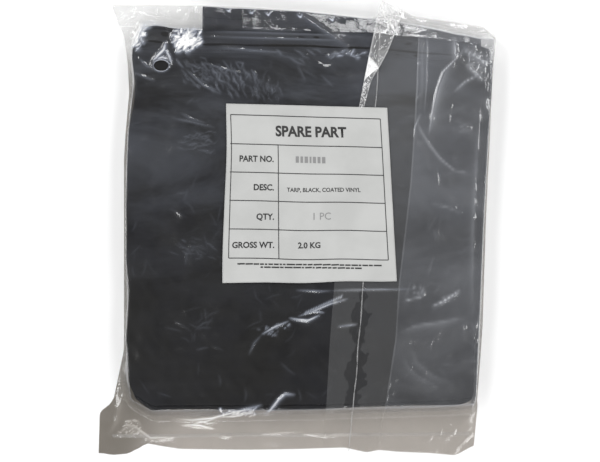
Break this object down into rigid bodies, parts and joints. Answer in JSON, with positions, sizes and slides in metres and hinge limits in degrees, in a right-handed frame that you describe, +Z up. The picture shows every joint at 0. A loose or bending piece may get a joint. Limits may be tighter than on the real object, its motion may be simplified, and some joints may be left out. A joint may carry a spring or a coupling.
{
  "type": "folded spreader tarp in a polybag",
  "caption": "Flat rectangular pack: a dark coated-vinyl spreader tarp folded into a thick stack inside a clear creased polybag, with a white paper parts label on the front.",
  "frame": {"origin": "on the floor under the middle of the bag, which lies on its back film", "axes": "+Z up out of the front film and the label, +Y towards the bag's top end, +X towards the bag's folded-over side"},
  "size_m": [0.3612, 0.4132, 0.0282],
  "materials": {
    "vinyl": "coated vinyl, satin",
    "hem_tape": "coated vinyl, satin",
    "thread": "matte",
    "film": "clear polyethylene film, glossy and creased",
    "paper": "matte white label stock"
  },
  "bodies": {
    "root": {"tarp_panel": "vinyl", "tarp_end_hem": "hem_tape", "tarp_side_hem_outer": "hem_tape", "tarp_side_hem_inner": "hem_tape", "tarp_end_skirt": "vinyl", "tarp_skirt_hem": "hem_tape", "hem_thread": "thread", "bag_back_film": "film", "bag_front_film": "film", "bag_bottom_weld": "film", "bag_lap_seam": "film", "bag_lap_seam_bead": "film", "bag_side_flap": "film", "paper_label": "paper"}
  },
  "joints": []
}
